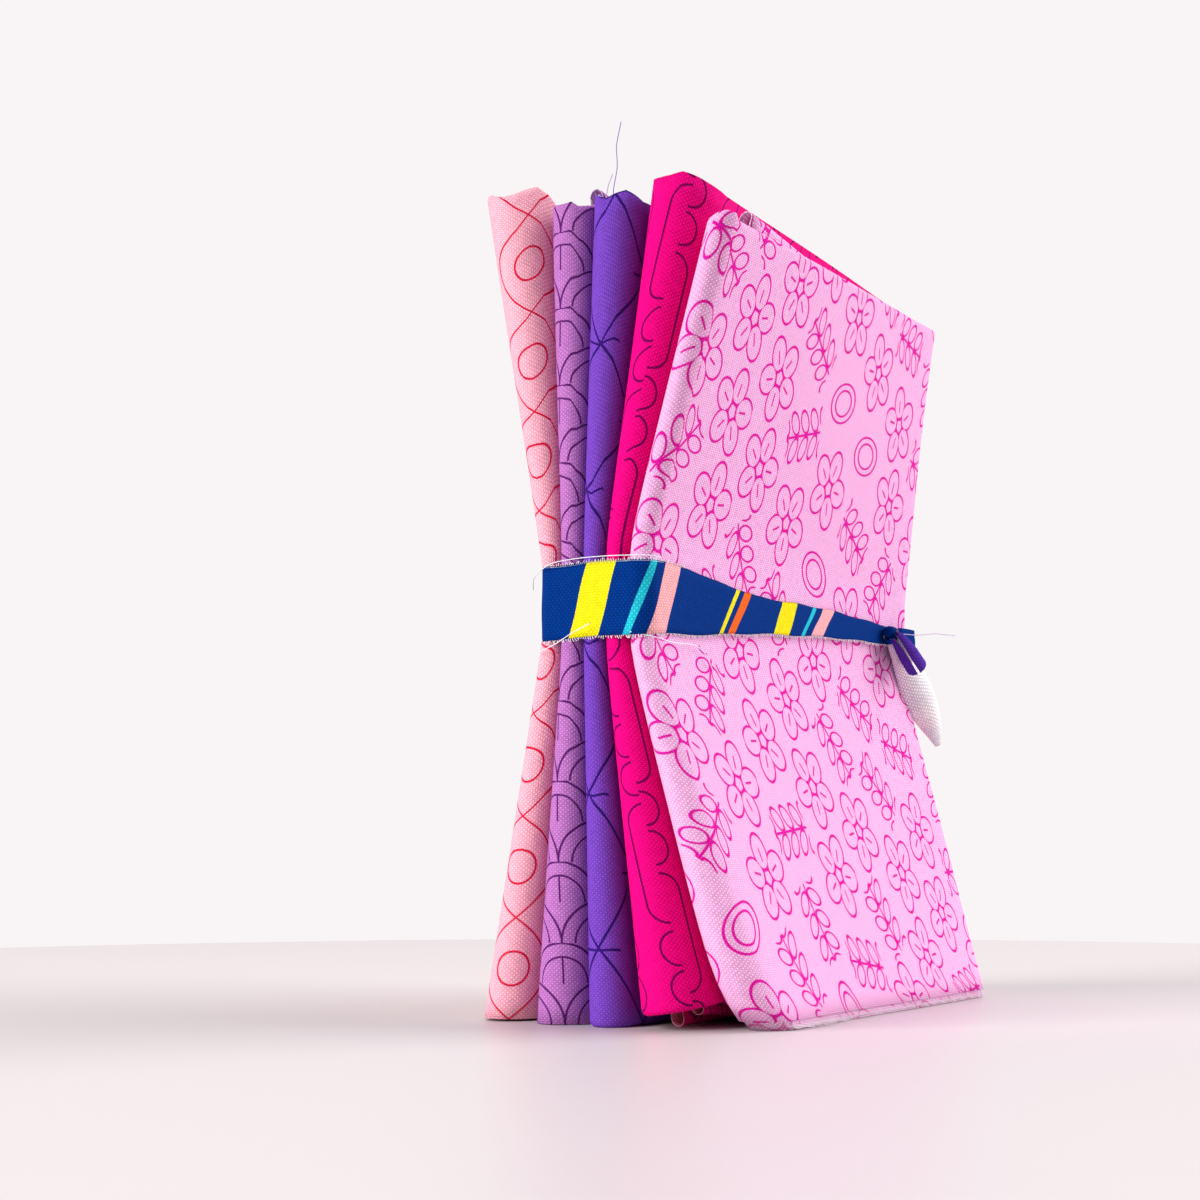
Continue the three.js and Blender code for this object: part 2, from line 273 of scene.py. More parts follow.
# Layers of a panel: where each lies between the outer face (1) and the inner face (-1)
OUTER = 1.0
SECOND = 1 / 3
THIRD = -1 / 3
INNERMOST = -1.0
# Steps along the cloth's length, layer by layer and turn by turn
OUTER_STEPS = 44
LOOP_STEPS = 9
INNER_STEPS = 15
HAIRPIN_STEPS = 4
INNER_LOOP_STEPS = 5
SECOND_STEPS = 26
INNER_LOOP_DROP = 5.0
LOOP_HEIGHT = 1.15
TUBE_LENGTH = 5.0
FOOT_FADE = 0.25
HAIRPIN_SETBACK = 2.2
HAIRPIN_DEPTH = 0.4
MEASURE_HEIGHT = 50.0  # height above or below the waist at which the inner panels are measured


def cloth_grid(number, spine, spine_foot, spine_top, far_edge, inner, folded_end):
    """Points of a folded cloth in mm: one row of the grid for each step round the section, one column
    for each step along the four layers of a panel.

    spine: x of the spine at the foot, the waist and the top, and how far its foot is tucked in.
    spine_foot, spine_top: heights of the lower and the upper edge across the spine, front to back.
    far_edge: heights of the lower and the upper edge at the far side.
    inner: the inner panels whose ends stand out, how far they do so above and below, how far they open
    as tubes, and how far the raw end of the outer layer stands back as a hem.
    folded_end: the end where the loops of the folds are; the raw ends are at the other.
    """
    steps = [("front inner", 0.0)]
    for segment, count in SEGMENTS:
        steps += [(segment, (k + 1) / count) for k in range(count)]
    foot_far, top_far = far_edge
    up = 1 if folded_end == "top" else -1
    rows = []
    for segment, t in steps:
        mid = np.full(1, WAIST_Z + MEASURE_HEIGHT * up)
        x, _, _ = section_points(number, segment, t, spine, mid)
        along = float(np.clip((x - SPINE_FACE_X) / (FAR_X - SPINE_FACE_X), 0, 1)[0])
        if segment == "spine":
            high = float(np.interp(t, np.linspace(0, 1, len(spine_top)), spine_top))
            low = float(np.interp(t, np.linspace(0, 1, len(spine_foot)), spine_foot))
        else:
            side = 0 if segment.startswith("front") else -1
            high = mix(spine_top[side], top_far, along)
            low = mix(spine_foot[side], foot_far, ease(along / FOOT_FADE))
        stands_out = 0.0
        if segment in inner["panels"]:
            behind_spine = x[0] - at_height(spine[:3], mid)[0] - INNER_SETBACK
            stands_out = float(np.clip(1 - behind_spine / INNER_FADE, 0, 1))
        low -= inner["below"] * stands_out
        high += inner["above"] * stands_out
        rows.append((segment, t, low, high, stands_out))
    grid = []
    for segment, t, low, high, stands_out in rows:
        folded, raw = (high, low) if up > 0 else (low, high)
        heights, layers = layer_run(folded, raw, up, stands_out * inner["tube"], inner)
        x, y, thickness = section_points(number, segment, t, spine, heights)
        grid.append((x, y, heights, layers, thickness, stands_out * inner["tube"]))
    x, y, z, layer, thickness, tube = (np.array([row[k] for row in grid]) for k in range(6))
    along_x = np.gradient(x, axis=0)
    along_y = np.gradient(y, axis=0)
    length = np.hypot(along_x, along_y)
    fold = z.max(axis=1, keepdims=True) if up > 0 else z.min(axis=1, keepdims=True)
    near_fold = np.clip(1 - np.abs(fold - z) / TUBE_LENGTH, 0, 1)
    half = (thickness - COTTON) / 2 + tube[:, None] * ease(near_fold)
    x = x - along_y / length * layer * half
    y = y + along_x / length * layer * half
    return np.stack([x + SHIFT[0], y + SHIFT[1], z], axis=-1)


def layer_run(folded, raw, up, tube, inner):
    """Heights and layers along the cloth's length, from one raw end to the other: up the outer layer,
    over the outer loop, down the innermost layer, round a hairpin, up the third layer, over the inner
    loop and down the second layer to its raw end."""

    def turn(count):
        return np.linspace(0, math.pi, count + 2)[1:-1]

    def across(layer, next_layer, count):
        return mix(layer, next_layer, (1 - np.cos(turn(count))) / 2)

    def bulge(count):
        return HAIRPIN_DEPTH * np.sin(turn(count))

    def level(start, end, layer, count):
        return np.linspace(start, end, count), np.full(count, layer)

    loop = LOOP_HEIGHT + tube
    inner_end = folded - up * (INNER_LOOP_DROP + 2.0 * tube)
    outer_raw = raw + up * inner["hem"]
    hairpin = raw + up * HAIRPIN_SETBACK
    runs = [
        level(outer_raw, folded - up * loop, OUTER, OUTER_STEPS),
        (folded - up * loop * (1 - np.sin(turn(LOOP_STEPS))), np.cos(turn(LOOP_STEPS))),
        level(folded - up * loop, hairpin, INNERMOST, INNER_STEPS),
        (hairpin - up * bulge(HAIRPIN_STEPS), across(INNERMOST, THIRD, HAIRPIN_STEPS)),
        level(hairpin, inner_end, THIRD, INNER_STEPS),
        (inner_end + up * bulge(INNER_LOOP_STEPS), across(THIRD, SECOND, INNER_LOOP_STEPS)),
        level(inner_end, raw, SECOND, SECOND_STEPS),
    ]
    heights = np.concatenate([run[0] for run in runs])
    layers = np.concatenate([run[1] for run in runs])
    return heights, layers


def grid_mesh(name, points, outward, start=0.0):
    """A sheet through a grid of points in mm. Its UV map holds its flat measures in mm: from row to row,
    beginning at a start and level along the row a third of the way on, and from column to column."""
    rows, columns, _ = points.shape
    index = np.arange(rows * columns).reshape(rows, columns)
    corners = [index[:-1, :-1], index[:-1, 1:], index[1:, 1:], index[1:, :-1]]
    if outward < 0:
        corners.reverse()
    faces = np.stack([c.ravel() for c in corners], axis=-1)
    mesh = bpy.data.meshes.new(name)
    mesh.from_pydata((points.reshape(-1, 3) * MM).tolist(), [], faces.tolist())
    step_u = np.linalg.norm(np.diff(points, axis=0), axis=-1)
    step_v = np.linalg.norm(np.diff(points, axis=1), axis=-1)
    u = np.concatenate([np.zeros((1, columns)), np.cumsum(step_u, axis=0)])
    level_row = u[rows // 3]
    u += np.median(level_row) - level_row + start
    v = np.concatenate([[0], np.cumsum(np.median(step_v, axis=0))])
    flat = np.stack([u, np.broadcast_to(v, (rows, columns))], axis=-1).reshape(-1, 2)
    layer = mesh.uv_layers.new(name="flat")
    layer.data.foreach_set("uv", flat[faces.ravel()].astype(np.float32).ravel())
    mesh.polygons.foreach_set("use_smooth", np.ones(len(faces), bool))
    return mesh


PRINT_EDGE = 0.14  # mm over which a printed colour gives way to the next


class Measure:
    """A number that differs from point to point of the cloth, worked out by shader nodes."""

    def __init__(self, tree, socket):
        self.tree = tree
        self.socket = socket

    def work(self, operation, *others):
        node = self.tree.nodes.new("ShaderNodeMath")
        node.operation = operation
        for slot, value in zip(node.inputs, (self, *others)):
            if isinstance(value, Measure):
                self.tree.links.new(value.socket, slot)
            else:
                slot.default_value = value
        return Measure(self.tree, node.outputs[0])

    def __add__(self, other):
        return self.work("ADD", other)

    def __sub__(self, other):
        return self.work("SUBTRACT", other)

    def __mul__(self, other):
        return self.work("MULTIPLY", other)

    def __truediv__(self, other):
        return self.work("DIVIDE", other)

    def size(self):
        return self.work("ABSOLUTE")

    def sine(self):
        return self.work("SINE")

    def cosine(self):
        return self.work("COSINE")

    def floor(self):
        return self.work("FLOOR")

    def larger(self, other):
        return self.work("MAXIMUM", other)

    def below(self, other):
        return self.work("LESS_THAN", other)

    def angle(self, across):
        return self.work("ARCTAN2", across)

    def repeat(self, length):
        """The place within repeats of a length, from minus a half to half of it."""
        return self.work("WRAP", length / 2, -length / 2)

    def reach(self, other):
        """Distance from the middle of a place given by two measures."""
        return (self * self + other * other).work("SQRT")

    def fill(self):
        """1 where this measure in mm is below 0, 0 where it is above, with a soft edge."""
        return (self / -PRINT_EDGE + 0.5).work("MINIMUM", 1.0).larger(0.0)

    def line(self, width):
        """1 on a printed line along which this measure is 0, and 0 off it."""
        return (self.size() - width / 2).fill()

    def chance(self, other):
        """Three chance numbers from 0 to 1 that belong to a pair of whole numbers."""
        pair = self.tree.nodes.new("ShaderNodeCombineXYZ")
        self.tree.links.new(self.socket, pair.inputs["X"])
        self.tree.links.new(other.socket, pair.inputs["Y"])
        noise = self.tree.nodes.new("ShaderNodeTexWhiteNoise")
        noise.noise_dimensions = "2D"
        self.tree.links.new(pair.outputs["Vector"], noise.inputs["Vector"])
        parts = self.tree.nodes.new("ShaderNodeSeparateColor")
        self.tree.links.new(noise.outputs["Color"], parts.inputs["Color"])
        return [Measure(self.tree, socket) for socket in parts.outputs]


def flat_measures(tree):
    """The two flat measures of the cloth, in mm."""
    uv = tree.nodes.new("ShaderNodeUVMap")
    uv.uv_map = "flat"
    parts = tree.nodes.new("ShaderNodeSeparateXYZ")
    tree.links.new(uv.outputs["UV"], parts.inputs[0])
    return Measure(tree, parts.outputs["X"]), Measure(tree, parts.outputs["Y"])


def line_print(name, ground, ink, draw):
    """A node group whose output is a cloth's colour: line work of one ink on a plain ground."""
    group = bpy.data.node_groups.new(name, "ShaderNodeTree")
    group.interface.new_socket("Colour", in_out="OUTPUT", socket_type="NodeSocketColor")
    out = group.nodes.new("NodeGroupOutput")
    colour = group.nodes.new("ShaderNodeMix")
    colour.data_type = "RGBA"
    colour.inputs["A"].default_value = (*ground, 1)
    colour.inputs["B"].default_value = (*ink, 1)
    group.links.new(draw(*flat_measures(group)).socket, colour.inputs["Factor"])
    group.links.new(colour.outputs["Result"], out.inputs["Colour"])
    return group


THREADS = (0.452, 0.379)  # mm from thread to thread along the two flat measures
# Painted light and shade of the weave, laid into the cloth's colour: painted shade between the threads,
# painted light up the round of each thread and on the threads of one way, and the tone of the uneven yarn
PAINTED_GAP_SHADE = 0.62
PAINTED_ROUND_LIGHT = 0.55
PAINTED_WARP_LIGHT = 0.30
YARN_TONE = 0.30
WARP_RISE = 0.6
YARN_RISE = 0.6
WEAVE_RELIEF = 0.07 * MM
RELIEF_STRENGTH = 0.6
YARN_SCALE = 0.8
YARN_DETAIL = 4.0
COTTON_ROUGHNESS = 0.9
COTTON_SHINE = 0.03
WHITE_COTTON = (0.9, 0.86, 0.88, 1)


def cotton(name, design, pale=0.0):
    """Matt cotton in the colours of a printed design, with the over and under of a plain weave given as
    relief and as painted light and shade in its colour, and uneven yarn; pale is the share of white that
    shows through on the wrong side and at raw edges."""
    material = bpy.data.materials.new(name)
    material.use_nodes = True
    tree = material.node_tree
    shader = tree.nodes["Principled BSDF"]
    shader.inputs["Roughness"].default_value = COTTON_ROUGHNESS
    shader.inputs["Specular IOR Level"].default_value = COTTON_SHINE
    u, v = flat_measures(tree)
    over = (u * (math.pi / THREADS[0])).sine() * (v * (math.pi / THREADS[1])).sine()
    uv = tree.nodes.new("ShaderNodeUVMap")
    uv.uv_map = "flat"
    slub = tree.nodes.new("ShaderNodeTexNoise")
    slub.noise_dimensions = "2D"
    slub.inputs["Scale"].default_value = YARN_SCALE
    slub.inputs["Detail"].default_value = YARN_DETAIL
    tree.links.new(uv.outputs["UV"], slub.inputs["Vector"])
    yarn = Measure(tree, slub.outputs["Fac"])
    # Painted light and shade of the weave, with the tone of the uneven yarn, scales the printed colour
    painted_weave_light_and_yarn_tone = over * PAINTED_WARP_LIGHT + over.size() * PAINTED_ROUND_LIGHT + yarn * YARN_TONE + PAINTED_GAP_SHADE
    printed = tree.nodes.new("ShaderNodeGroup")
    printed.node_tree = design
    faded = tree.nodes.new("ShaderNodeMix")
    faded.data_type = "RGBA"
    faded.inputs["Factor"].default_value = pale
    faded.inputs["B"].default_value = WHITE_COTTON
    tree.links.new(printed.outputs["Colour"], faded.inputs["A"])
    tone = tree.nodes.new("ShaderNodeVectorMath")
    tone.operation = "SCALE"
    tree.links.new(faded.outputs["Result"], tone.inputs[0])
    tree.links.new(painted_weave_light_and_yarn_tone.socket, tone.inputs["Scale"])
    tree.links.new(tone.outputs["Vector"], shader.inputs["Base Color"])
    bump = tree.nodes.new("ShaderNodeBump")
    bump.inputs["Strength"].default_value = RELIEF_STRENGTH
    bump.inputs["Distance"].default_value = WEAVE_RELIEF
    relief = over * WARP_RISE + over.size() + yarn * YARN_RISE
    tree.links.new(relief.socket, bump.inputs["Height"])
    tree.links.new(bump.outputs["Normal"], shader.inputs["Normal"])
    return material


WRONG_SIDE_PALE = 0.22
RAW_EDGE_PALE = 0.4


def cotton_sheet(
    name, mesh, design, node, wrong_side_pale=WRONG_SIDE_PALE
):
    """A piece of cotton with its right side, its paler wrong side and its raw edges."""
    mesh.materials.append(cotton(name + "_right_side", design))
    mesh.materials.append(cotton(name + "_wrong_side", design, wrong_side_pale))
    mesh.materials.append(cotton(name + "_raw_edge", design, RAW_EDGE_PALE))
    piece = bpy.data.objects.new(name, mesh)
    scene.collection.objects.link(piece)
    body = piece.modifiers.new("cotton", "SOLIDIFY")
    body.thickness = COTTON * MM
    body.offset = 0.0
    body.material_offset = 1
    body.material_offset_rim = 2
    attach(piece, "root")
    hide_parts(node)


def draw_coral(u, v):
    """Wavy lines that cross to form pointed ovals, with a ring in each oval."""
    width = 22.0
    length = 18.0
    swing = 7.0
    ring_radius = 3.0
    wave = (v * (math.pi / length)).sine() * swing
    x = (u + 6.0).repeat(width)
    ovals = (x - wave).line(0.5).larger((x + wave).line(0.5))
    ring = x.reach((v + length / 2).repeat(length)) - ring_radius
    return ovals.larger(ring.line(0.42))


CORAL_GROUND = (0.93, 0.42, 0.51)
CORAL_INK = (0.72, 0.010, 0.055)
coral_points = cloth_grid(
    number=0,
    spine=(-55.6, -58.3, -56.8, 0.0),
    spine_foot=(0.4, 0.4),
    spine_top=(148.0, 150.2, 151.4, 150.5, 149.5, 149.2, 149.6, 150.4, 151.0, 151.3, 151.1),
    far_edge=(0.1, 146.0),
    inner={"panels": (), "above": 0.0, "below": 0.0, "tube": 0.0, "hem": 0.0},
    folded_end="top",
)
cotton_sheet(
    "folded_coral",
    grid_mesh("folded_coral", coral_points, 1),
    line_print("coral_print", CORAL_GROUND, CORAL_INK, draw_coral),
    node="coral_cloth",
)

# The lavender cloth
# The second fat quarter from the back, of the same cotton. It is folded as the coral cloth is and held
# by the tie alone; the end of one inner fold stands above its upper edge as a small tube.


def draw_lavender(u, v):
    """Clamshells: rows of overlapping scallops, each with a second line and a rib inside."""
    radius = 7.0
    inner_radius = 4.6
    row = (v / radius).floor()
    x = (u + row.work("MODULO", 2.0) * radius).repeat(2 * radius)
    y = v - row * radius
    shell = x.reach(y)
    scallop = (shell - radius).line(0.42)
    inside = (shell - inner_radius).line(0.36)
    rib = x.line(0.36) * (shell - inner_radius).fill()
    return scallop.larger(inside).larger(rib)


LAVENDER_GROUND = (0.46, 0.165, 0.48)
LAVENDER_INK = (0.10, 0.014, 0.13)
lavender_points = cloth_grid(
    number=1,
    spine=(-58.4, -59.2, -56.4, 0.0),
    spine_foot=(0.1, 0.1),
    spine_top=(146.7, 146.3, 146.0, 145.8, 146.6, 146.3, 146.3, 146.5, 146.8, 146.9, 146.9),
    far_edge=(0.1, 143.0),
    inner={"panels": ("front inner",), "above": 4.6, "below": 0.0, "tube": 0.5, "hem": 0.0},
    folded_end="top",
)
cotton_sheet(
    "folded_lavender",
    grid_mesh("folded_lavender", lavender_points, 1),
    line_print("lavender_print", LAVENDER_GROUND, LAVENDER_INK, draw_lavender),
    node="lavender_cloth",
)

# The violet cloth
# The third fat quarter, in the middle of the stack, of the same cotton. It is folded as the others are
# and held by the tie alone, and it stands with its raw ends at the top.


def draw_violet(u, v):
    """A slanting lattice with a short bar in some of its openings."""
    spacing = 15.0
    line = 0.45
    bar_spacing = 13.2
    bar_half = 3.0
    one = (u * 0.82 + v * 0.57).repeat(spacing)
    two = (u * 0.82 - v * 0.57).repeat(spacing)
    lattice = one.line(line).larger(two.line(line))
    bar = v.repeat(bar_spacing).line(line) * (one.size() - bar_half).fill()
    return lattice.larger(bar)


VIOLET_GROUND = (0.170, 0.055, 0.46)
VIOLET_INK = (0.030, 0.008, 0.15)
violet_points = cloth_grid(
    number=2,
    spine=(-60.0, -60.0, -58.6, 0.0),
    spine_foot=(0.1, 0.1),
    spine_top=(145.0, 145.1, 146.0, 146.7, 146.1, 145.3, 145.9, 146.6, 147.2, 147.5, 147.5),
    far_edge=(0.1, 144.0),
    inner={"panels": (), "above": 0.0, "below": 0.0, "tube": 0.0, "hem": 0.0},
    folded_end="bottom",
)
cotton_sheet(
    "folded_violet",
    grid_mesh("folded_violet", violet_points, -1),
    line_print("violet_print", VIOLET_GROUND, VIOLET_INK, draw_violet),
    node="violet_cloth",
)

# The magenta cloth
# The fourth fat quarter, of the same cotton, with its raw ends at the top. The tie holds its lower edge
# a little clear of the table, and the ends of its inner folds hang below that edge as two small tubes.


def draw_magenta(u, v):
    """Strings of beads: long and round outlines in turn, the strings shifted against each other."""
    spacing = 11.0
    shift = 12.0
    line = 0.42
    column = (u / spacing).floor()
    x = u.repeat(spacing)
    y = (v + column.work("MODULO", 3.0) * shift).repeat(3 * shift)
    long_bead = x.reach((y.size() - 7.0).larger(0.0)) - 3.2
    round_bead = x.reach(y.size() - 14.6) - 2.9
    return long_bead.line(line).larger(round_bead.line(line))


MAGENTA_GROUND = (0.82, 0.002, 0.20)
MAGENTA_INK = (0.17, 0.002, 0.08)
magenta_points = cloth_grid(
    number=3,
    spine=(-62.0, -60.6, -60.2, 0.0),
    spine_foot=(4.4, 3.9, 3.3, 2.8, 2.4, 2.2, 2.2),
    spine_top=(144.8, 145.4, 146.1, 147.0, 147.7, 147.2, 147.2, 147.5, 147.9, 148.1, 148.1),
    far_edge=(1.6, 144.5),
    inner={"panels": ("front inner", "back inner"), "above": 0.0, "below": 2.0, "tube": 0.45, "hem": 0.0},
    folded_end="bottom",
)
cotton_sheet(
    "folded_magenta",
    grid_mesh("folded_magenta", magenta_points, -1),
    line_print("magenta_print", MAGENTA_GROUND, MAGENTA_INK, draw_magenta),
    node="magenta_cloth",
)

# The lilac cloth, at the front of the stack
# The fifth fat quarter, of the same cotton and folded as the coral cloth is. Its second layer hangs below
# the outer one with a raw frayed edge, and the end of an inner fold stands above its upper edge as a tube.


def draw_lilac(u, v):
    """Five-petalled blossoms, leafy sprigs and ringed seeds, tossed on a half-drop layout."""
    width = 16.0
    height = 17.0
    enlarged = 1.28
    petals = 5
    blossom_share = 0.5
    sprig_share = 0.78
    column = (u / width).floor()
    dropped = v + column.work("MODULO", 2.0) * (height / 2)
    row = (dropped / height).floor()
    turning, kind, _ = column.chance(row)
    turn = turning * (2 * math.pi)
    aside = (u - column * width - width / 2) / enlarged
    ahead = (dropped - row * height - height / 2) / enlarged
    x = aside * turn.cosine() - ahead * turn.sine()
    y = aside * turn.sine() + ahead * turn.cosine()
    radius = x.reach(y)
    petal_turn = y.angle(x).repeat(2 * math.pi / petals)
    along = radius * petal_turn.cosine()
    across = radius * petal_turn.sine()
    petal = (((along - 3.7) / 2.6).reach(across / 2.15) - 1.0) * 2.3
    vein = across.line(0.36) * ((along - 3.2).size() - 1.0).fill()
    blossom = petal.line(0.42).larger((radius - 1.2).line(0.4)).larger(vein)
    leaf_x = x.repeat(3.3)
    leaf_y = y.size() - 2.0
    leaf = (((leaf_x - leaf_y * 0.45) / 1.25).reach(leaf_y / 1.75) - 1.0) * 1.4
    sprig = leaf.line(0.4).larger(y.line(0.42)) * (x.size() - 5.8).fill()
    seed = (x / 4.6).reach(y / 3.0)
    rings = ((seed - 1.0) * 3.7).line(0.42).larger(((seed - 0.66) * 3.7).line(0.42))
    is_blossom = kind.below(blossom_share)
    is_sprig = kind.below(sprig_share) - is_blossom
    is_seed = (kind.below(sprig_share) * -1.0) + 1.0
    return blossom * is_blossom + sprig * is_sprig + rings * is_seed


LILAC_GROUND = (0.84, 0.42, 0.70)
LILAC_INK = (0.70, 0.008, 0.33)
LILAC_YARN = (0.95, 0.84, 0.91)
lilac_points = cloth_grid(
    number=4,
    spine=(-61.7, -61.2, -60.9, 9.0),
    spine_foot=(0.1, 0.1),
    spine_top=(138.4, 139.4, 139.5, 139.6, 139.5, 139.3, 139.0, 138.8, 139.0, 139.2, 139.4),
    far_edge=(0.1, 140.2),
    inner={"panels": ("front inner",), "above": 3.0, "below": 0.0, "tube": 0.75, "hem": 1.5},
    folded_end="top",
)
FRAY_RADIUS = 0.075 * MM
FRAY_BEND = 0.12 * MM
FRAY_SHORTEST = 0.35  # shares of the length asked for
FRAY_LONGEST = 1.2


def fray_nodes():
    """Geometry nodes that set short bent thread ends, at chance angles, along an edge."""
    group = bpy.data.node_groups.new("frayed_edge", "GeometryNodeTree")
    sockets = group.interface
    sockets.new_socket("Geometry", in_out="OUTPUT", socket_type="NodeSocketGeometry")
    sockets.new_socket("Geometry", in_out="INPUT", socket_type="NodeSocketGeometry")
    for size in ("Spacing", "Length", "Tilt", "Lean", "Turn"):
        sockets.new_socket(size, in_out="INPUT", socket_type="NodeSocketFloat")
    sockets.new_socket("Seed", in_out="INPUT", socket_type="NodeSocketInt")
    sockets.new_socket("Thread", in_out="INPUT", socket_type="NodeSocketMaterial")
    add = group.nodes.new
    link = group.links.new
    given = add("NodeGroupInput")
    result = add("NodeGroupOutput")
    edge = add("GeometryNodeMeshToCurve")
    link(given.outputs["Geometry"], edge.inputs["Mesh"])
    places = add("GeometryNodeCurveToPoints")
    places.mode = "LENGTH"
    link(edge.outputs["Curve"], places.inputs["Curve"])
    link(given.outputs["Spacing"], places.inputs["Length"])
    tip = add("ShaderNodeCombineXYZ")
    link(given.outputs["Length"], tip.inputs["Z"])
    elbow = add("ShaderNodeVectorMath")
    elbow.operation = "MULTIPLY_ADD"
    elbow.inputs[1].default_value = (0.6, 0.6, 0.6)
    elbow.inputs[2].default_value = (FRAY_BEND, 0, 0)
    link(tip.outputs["Vector"], elbow.inputs[0])
    fibre = add("GeometryNodeCurveQuadraticBezier")
    fibre.inputs["Resolution"].default_value = 4
    fibre.inputs["Start"].default_value = (0, 0, 0)
    link(elbow.outputs["Vector"], fibre.inputs["Middle"])
    link(tip.outputs["Vector"], fibre.inputs["End"])
    outline = add("GeometryNodeCurvePrimitiveCircle")
    outline.inputs["Resolution"].default_value = 5
    outline.inputs["Radius"].default_value = FRAY_RADIUS
    thread = add("GeometryNodeCurveToMesh")
    thread.inputs["Fill Caps"].default_value = True
    link(fibre.outputs["Curve"], thread.inputs["Curve"])
    link(outline.outputs["Curve"], thread.inputs["Profile Curve"])
    least = add("ShaderNodeCombineXYZ")
    most = add("ShaderNodeCombineXYZ")
    for corner, operation in ((least, "SUBTRACT"), (most, "ADD")):
        across = add("ShaderNodeMath")
        across.operation = operation
        link(given.outputs["Tilt"], across.inputs[0])
        link(given.outputs["Lean"], across.inputs[1])
        link(across.outputs[0], corner.inputs["X"])
        for axis, amount in (("Y", "Lean"), ("Z", "Turn")):
            both_ways = add("ShaderNodeMath")
            both_ways.operation = operation
            both_ways.inputs[0].default_value = 0.0
            link(given.outputs[amount], both_ways.inputs[1])
            link(both_ways.outputs[0], corner.inputs[axis])
    turn = add("FunctionNodeRandomValue")
    turn.data_type = "FLOAT_VECTOR"
    link(least.outputs["Vector"], turn.inputs["Min"])
    link(most.outputs["Vector"], turn.inputs["Max"])
    link(given.outputs["Seed"], turn.inputs["Seed"])
    stretch = add("FunctionNodeRandomValue")
    stretch.data_type = "FLOAT_VECTOR"
    stretch.inputs["Min"].default_value = (1.0, 1.0, FRAY_SHORTEST)
    stretch.inputs["Max"].default_value = (1.0, 1.0, FRAY_LONGEST)
    link(given.outputs["Seed"], stretch.inputs["Seed"])
    copies = add("GeometryNodeInstanceOnPoints")
    link(places.outputs["Points"], copies.inputs["Points"])
    link(thread.outputs["Mesh"], copies.inputs["Instance"])
    link(turn.outputs["Value"], copies.inputs["Rotation"])
    link(stretch.outputs["Value"], copies.inputs["Scale"])
    real = add("GeometryNodeRealizeInstances")
    link(copies.outputs["Instances"], real.inputs["Geometry"])
    painted = add("GeometryNodeSetMaterial")
    link(real.outputs["Geometry"], painted.inputs["Geometry"])
    link(given.outputs["Thread"], painted.inputs["Material"])
    link(painted.outputs["Geometry"], result.inputs["Geometry"])
    return group


FRAY = fray_nodes()


def yarn_material(name, colour):
    """Plain matt cotton yarn."""
    material = bpy.data.materials.new(name)
    material.use_nodes = True
    fibre = material.node_tree.nodes["Principled BSDF"]
    fibre.inputs["Base Color"].default_value = (*colour, 1)
    fibre.inputs["Roughness"].default_value = 0.8
    return material


def frayed_edge(name, edge, colour, slot, **sizes):
    """Thread ends along an edge given by points in mm."""
    mesh = bpy.data.meshes.new(name)
    mesh.from_pydata((edge * MM).tolist(), [(k, k + 1) for k in range(len(edge) - 1)], [])
    piece = bpy.data.objects.new(name, mesh)
    scene.collection.objects.link(piece)
    growth = piece.modifiers.new("fray", "NODES")
    growth.node_group = FRAY
    sizes["Thread"] = yarn_material(name, colour)
    for socket in FRAY.interface.items_tree:
        if socket.in_out == "INPUT" and socket.name in sizes:
            growth[socket.identifier] = sizes[socket.name]
    bpy.context.view_layer.update()
    worked_out = piece.evaluated_get(bpy.context.evaluated_depsgraph_get())
    grown = bpy.data.meshes.new_from_object(worked_out)
    piece.modifiers.clear()
    piece.data = grown
    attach(piece, "root")
    return piece


# Rows of the cloth with a fringe along the raw end of the second layer, and with a longer tuft
HEM_ROWS = slice(31, 63)
TUFT_ROWS = slice(54, 66)
RAW_END = -1
FRAY_ROOT = (0, 0, 0.6)  # how far inside the raw end the loose threads start, in mm
lilac_frays = [
    frayed_edge(
        name,
        lilac_points[rows, RAW_END] + FRAY_ROOT,
        LILAC_YARN,
        "lilac_cotton",
        Spacing=spacing * MM,
        Length=length * MM,
        Tilt=tilt,
        Lean=lean,
        Turn=turn,
        Seed=4,
    )
    for name, rows, spacing, length, tilt, lean, turn in (
        ("lilac_fray", HEM_ROWS, 0.40, -0.8, -1.2, 0.3, 0.5),
        ("lilac_tuft", TUFT_ROWS, 0.28, -2.4, -1.5, 0.1, 0.9),
    )
]
cotton_sheet(
    "folded_lilac",
    grid_mesh("folded_lilac", lilac_points, 1),
    line_print("lilac_print", LILAC_GROUND, LILAC_INK, draw_lilac),
    node="lilac_cloth",
)

# The tie strip
# A narrow strip of printed cotton with raw edges, wrapped once round the waist and knotted on the front,
# near the far edge; along the front its upper part is folded down behind, so that it narrows to the knot.
TIE_FRONT_Y = -12.45
TIE_BEND = 3.2
# Lower and upper edge of the strip along x, in front of the stack and behind it
TIE_FRONT_X = (-63, -47, -39, -20, 11, 36, 54)
TIE_FRONT_LOW = (67.2, 68.0, 68.6, 70.2, 71.8, 72.4, 72.4)
TIE_FRONT_HIGH = (80.2, 79.6, 78.5, 77.0, 77.2, 76.2, 75.8)
TIE_BACK_X = (-63, 0, 36, 54)
TIE_BACK_LOW = (67.0, 67.2, 68.4, 70.2)
TIE_BACK_HIGH = (80.2, 80.3, 79.4, 77.8)
TIE_WIDTH = 13.0
TIE_DEPTH = 24.0  # from the front of the strip to its back
LEAST_FOLD = 0.5
MOST_FOLD = 0.9  # share of the strip's width in view
FULL_LIFT = 0.45  # how far the fold behind lifts the strip off the cloth
LIFTING_FOLD = 4.0
EDGE_WAVE = 0.12
BUCKLE = 0.10
STRIP_COLUMNS = 13
FOLD_COLUMNS = 6


def straight(start, end, step=2.0):
    """Points from one place to another, without the last."""
    count = max(1, round(math.dist(start, end) / step))
    return [tuple(mix(np.array(start), np.array(end), k / count)) for k in range(count)]


